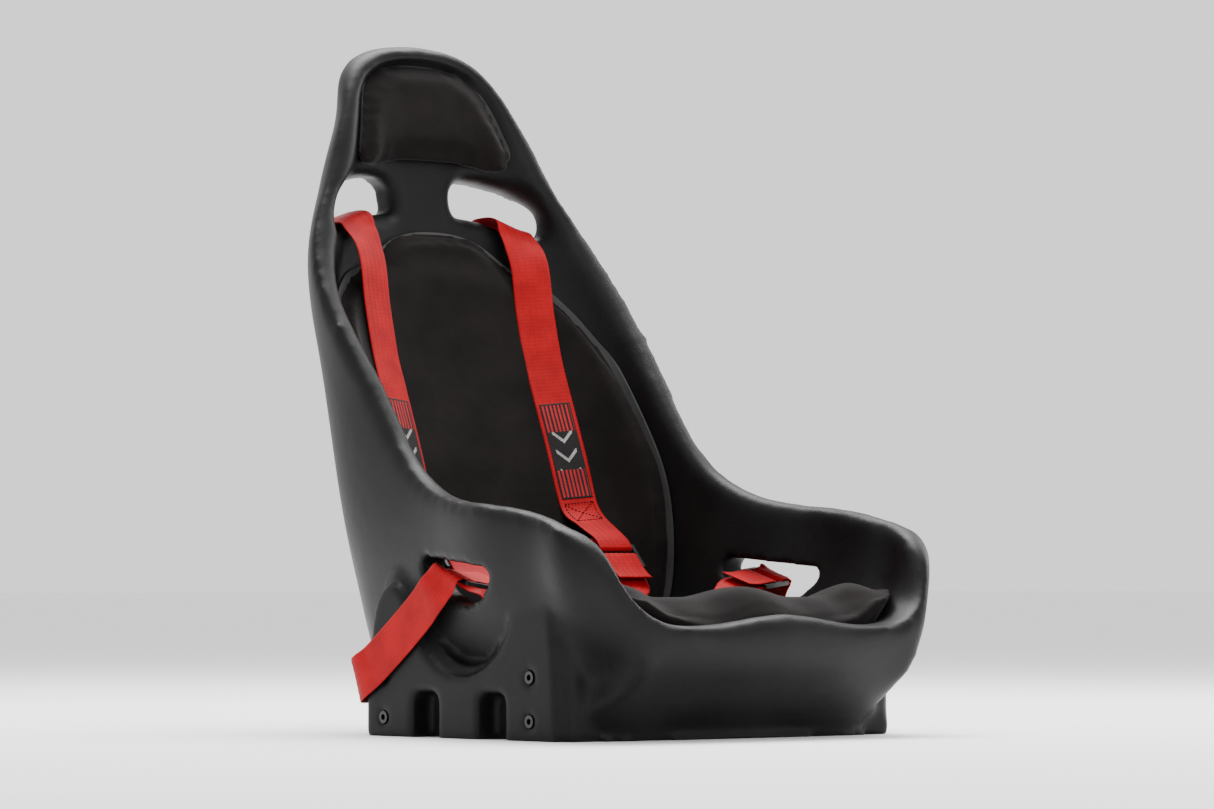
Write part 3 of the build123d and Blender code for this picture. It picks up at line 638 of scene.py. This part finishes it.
def blend_below(obj, adjuster):
    """Bakes a strap's placement into its mesh."""
    near = adjuster.point(-0.030, 0)
    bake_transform(obj)


def straps():
    for side, sign in SIDES.items():
        upper = strap(f"shoulder_webbing_{side}", mirrored(shoulder_stations(), sign))
        piece(upper, "seat", "webbing", WEB, f"shoulder_strap_{side}")
        lower = strap(f"shoulder_webbing_lower_{side}", mirrored(lower_stations(), sign))
        piece(lower, None, "webbing", WEB, f"shoulder_strap_lower_{side}", f"shoulder_strap_wrap_{side}")
        blend_below(lower, SHOULDER_ADJUSTER)
        inner = strap(f"lap_webbing_inner_{side}", mirrored(lap_inner_stations(), sign))
        piece(inner, None, "webbing", WEB, f"lap_strap_inner_{side}", f"lap_strap_wrap_{side}")
        blend_below(inner, LAP_ADJUSTER)
    piece(strap("lap_webbing", lap_stations()), "seat", "webbing", WEB, "lap_belt")


# ---------------------------------------------------------------- labels and stitching

LABEL_WIDTH = 0.041
LABEL_BORDER = 0.0022
LABEL_STRIPES = 8
LABEL_COLUMNS = 82
LABEL_STEPS = 160
LABEL_LIFT = WEBBING / 2 + 0.0004


def label_look(across, along, length):
    """Which thread shows at a place on the label: 0 black, 1 red, 2 grey."""
    if abs(across) > LABEL_WIDTH / 2 - LABEL_BORDER or min(along, length - along) < LABEL_BORDER:
        return 0
    share = along / length
    if 0.30 < share < 0.70:
        chevron = (share - 0.30) * 5 + 1.6 * abs(across) / LABEL_WIDTH
        inside = abs(across) < 0.33 * LABEL_WIDTH
        return 2 if inside and 0.42 < chevron % 1 < 0.62 else 0
    width = LABEL_WIDTH / (LABEL_STRIPES * 2)
    return 1 if int((across + LABEL_WIDTH) / width) % 2 else 0


def label(name, stations):
    """A woven label on a strap: a black border, red stripes and a plain chevron block."""
    run = frames(stations)
    columns, count = LABEL_COLUMNS, LABEL_STEPS
    rows = travelled(run)
    length = rows[-1]
    fine = []
    for step in range(count + 1):
        wanted = length * step / count
        index = max(k for k, value in enumerate(rows) if value <= wanted + 1e-9)
        after = min(index + 1, len(run) - 1)
        gap = rows[after] - rows[index]
        t = (wanted - rows[index]) / gap if gap else 0
        fine.append([run[index][k].lerp(run[after][k], t) for k in range(3)])
    points, faces, looks, uvs = [], [], [], []
    for step, (centre, side, normal) in enumerate(fine):
        for column in range(columns + 1):
            across = (column / columns - 0.5) * LABEL_WIDTH
            raised = LABEL_LIFT + (0.0002 if 0 < column < columns and 0 < step < count else -0.0004)
            points.append(centre + side * across + normal * raised)
            uvs.append((across, length * step / count))
    for step in range(count):
        for column in range(columns):
            a = step * (columns + 1) + column
            faces.append((a, a + 1, a + columns + 2, a + columns + 1))
            across = ((column + 0.5) / columns - 0.5) * LABEL_WIDTH
            looks.append(label_look(across, length * (step + 0.5) / count, length))
    obj = mesh_object(name, points, faces)
    layer = obj.data.uv_layers.new(name="weave")
    for loop in obj.data.loops:
        layer.data[loop.index].uv = uvs[loop.vertex_index]
    for look in (LABEL_BLACK, LABEL_RED, LABEL_GREY):
        obj.data.materials.append(look)
    obj.data.polygons.foreach_set("material_index", looks)
    return obj


STITCH_LIFT = 0.0003
STITCH_HALF = 0.0007
STITCH_SHAPE = [(0, -0.0002, 0.5), (0.25, 0.0006, 1), (0.75, 0.0006, 1), (1, -0.0002, 0.5)]


def stitch_row(work, run, start, end, length=0.0028, gap=0.0014):
    """Short raised threads between two places, each (across, along) on a strap's surface."""
    distances = travelled(run)

    def place(across, along, height):
        index = int(np.clip(np.searchsorted(distances, along) - 1, 0, len(run) - 2))
        t = (along - distances[index]) / (distances[index + 1] - distances[index])
        centre, side, normal = (run[index][k].lerp(run[index + 1][k], t) for k in range(3))
        return centre + side * across + normal * (WEBBING / 2 + STITCH_LIFT + height)

    whole = math.dist(start, end)
    count = max(1, int(whole / (length + gap)))
    direction = ((end[0] - start[0]) / whole, (end[1] - start[1]) / whole)
    wide = (-direction[1] * STITCH_HALF, direction[0] * STITCH_HALF)
    for number in range(count):
        first = number * whole / count
        profile = []
        for share, height, spread in STITCH_SHAPE:
            across = start[0] + direction[0] * (first + share * length)
            along = start[1] + direction[1] * (first + share * length)
            left = work.verts.new(place(across - wide[0] * spread, along - wide[1] * spread, -0.0002))
            top = work.verts.new(place(across, along, height))
            right = work.verts.new(place(across + wide[0] * spread, along + wide[1] * spread, -0.0002))
            profile.append((left, top, right))
        for before, after in zip(profile, profile[1:]):
            work.faces.new((before[0], before[1], after[1], after[0]))
            work.faces.new((before[1], before[2], after[2], after[1]))


def box_and_cross(work, run, low, high, half_width):
    corners = [(-half_width, low), (half_width, low), (half_width, high), (-half_width, high)]
    for a, b in zip(corners, corners[1:] + corners[:1]):
        stitch_row(work, run, a, b)
    stitch_row(work, run, corners[0], corners[2])
    stitch_row(work, run, corners[1], corners[3])


def length_to(run, target):
    """How far along a run its nearest point to a target is."""
    gaps = [(centre - target).length for centre, _, _ in run]
    return travelled(run)[gaps.index(min(gaps))]


def sewing():
    for side, sign in SIDES.items():
        run = frames(mirrored(shoulder_stations(), sign))
        work = bmesh.new()
        below_label = length_to(run, Vector((sign * STRAP_X, 0.2305, 0.267)))
        box_and_cross(work, run, below_label, below_label + 0.030, 0.019)
        mesh = bpy.data.meshes.new(f"shoulder_stitching_{side}")
        work.to_mesh(mesh)
        work.free()
        piece(new_object(mesh.name, mesh), "seat", "webbing", THREAD)
        tag = [((STRAP_X, y, z), across) for y, z, across in LABEL_RUN]
        made = label(f"woven_label_{side}", mirrored(tag, sign))
        piece(made, "seat", "label_weave", LABEL_BLACK, f"strap_label_{side}")


# ---------------------------------------------------------------- buckle

def latch_spring():
    """The buckle's coil spring, copied from its CAD node in steel."""
    obj = node_copy("latch_spring", "buckle_latch_spring")
    piece(obj, "seat", "tongue_steel", STEEL, "buckle_latch_spring")
    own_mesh(obj)


# ---------------------------------------------------------------- studio

def light(name, place, target, size, power):
    data = bpy.data.lights.new(name, "AREA")
    data.shape = "RECTANGLE"
    data.size, data.size_y = size
    data.energy = power
    lamp = bpy.data.objects.new(name, data)
    lamp.location = place
    lamp.rotation_euler = (Vector(target) - Vector(place)).to_track_quat("-Z", "Y").to_euler()
    bpy.context.scene.collection.objects.link(lamp)


def studio():
    reach = 40
    corners = [(-reach, -reach, 0), (reach, -reach, 0), (reach, reach, 0), (-reach, reach, 0)]
    floor = mesh_object("floor", corners, [(0, 1, 2, 3)])
    material, tree, shader = shader_tree("floor_paper", (0.93, 0.93, 0.93), 0.9)
    tree.links.new(ramp(tree, noise(tree, 3, 2), (0.92, 0.92, 0.92), (0.94, 0.94, 0.94)),
                   shader.inputs["Base Color"])
    floor.data.materials.append(material)
    world = bpy.data.worlds.new("studio")
    world.use_nodes = True
    world.node_tree.nodes["Background"].inputs["Color"].default_value = (1, 1, 1, 1)
    world.node_tree.nodes["Background"].inputs["Strength"].default_value = 1.3
    bpy.context.scene.world = world
    light("top_softbox", (0.6, 0.9, 3.0), (0, 0.1, 0.4), (2.4, 2.4), 260)
    light("front_softbox", (-0.4, -3.0, 1.8), (0, 0, 0.4), (2.0, 1.6), 26)
    light("far_strip", (2.4, 0.2, 1.6), (0, 0.1, 0.4), (0.6, 2.2), 30)


def camera():
    """A long lens near the floor, 41 degrees round to the driver's right of the front."""
    data = bpy.data.cameras.new("camera")
    data.lens = 157.2
    data.clip_end = 60
    obj = bpy.data.objects.new("camera", data)
    obj.location = (-3.9625, -4.5631, 0.1812)
    view = Vector((0.6525, 0.7578, math.tan(math.radians(1.845))))
    obj.rotation_euler = view.to_track_quat("-Z", "Y").to_euler()
    bpy.context.scene.collection.objects.link(obj)
    bpy.context.scene.camera = obj


camera()
studio()
finish_nodes()
shell()
pad("headrest_pad", (0, -0.95, 0.3), 0.005, 4, ("cover", "foam"))
pad("back_pad", (0, -0.93, 0.37), 0.006, 4, ("cover", "foam"))
pad("seat_pad", (0, -0.1, 1), 0.006, 7, ("cover", "foam", "backing"), thigh_bolsters)
straps()
sewing()
latch_spring()
